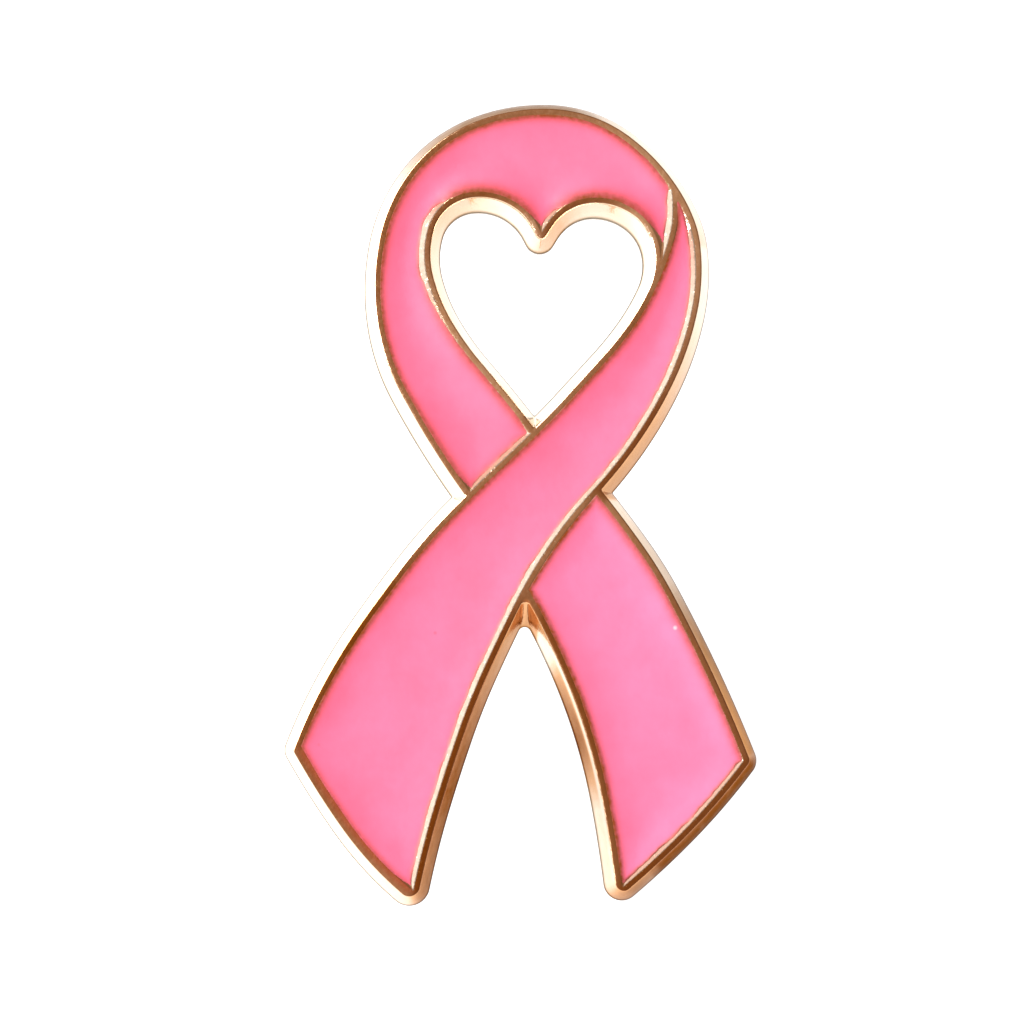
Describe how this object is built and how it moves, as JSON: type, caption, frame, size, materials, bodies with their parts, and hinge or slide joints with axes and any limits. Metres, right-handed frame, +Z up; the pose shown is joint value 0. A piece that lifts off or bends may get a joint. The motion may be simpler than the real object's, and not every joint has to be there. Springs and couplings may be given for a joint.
{
  "type": "awareness ribbon pin",
  "caption": "Awareness ribbon lapel pin: a looped, crossed ribbon in pink enamel edged with raised gold lines, with a heart-shaped opening in its loop and a tack post on its back.",
  "frame": {"origin": "on the surface that the pin rests on, below the middle of its bounding box", "axes": "+Z up; the pin leans back at rest on its two tail tips and the point of its post: +Y runs along the floor from the tails towards the post's point and the top of the loop, and +X is to the right as seen from the front"},
  "size_m": [0.015, 0.022, 0.0148],
  "materials": {
    "gold_plate": "polished",
    "pink_enamel": "gloss",
    "post_metal": "polished"
  },
  "bodies": {
    "root": {"base": "gold_plate", "enamel_loop": "pink_enamel", "enamel_front_tail": "pink_enamel", "enamel_back_tail": "pink_enamel", "post": "post_metal"}
  },
  "joints": []
}
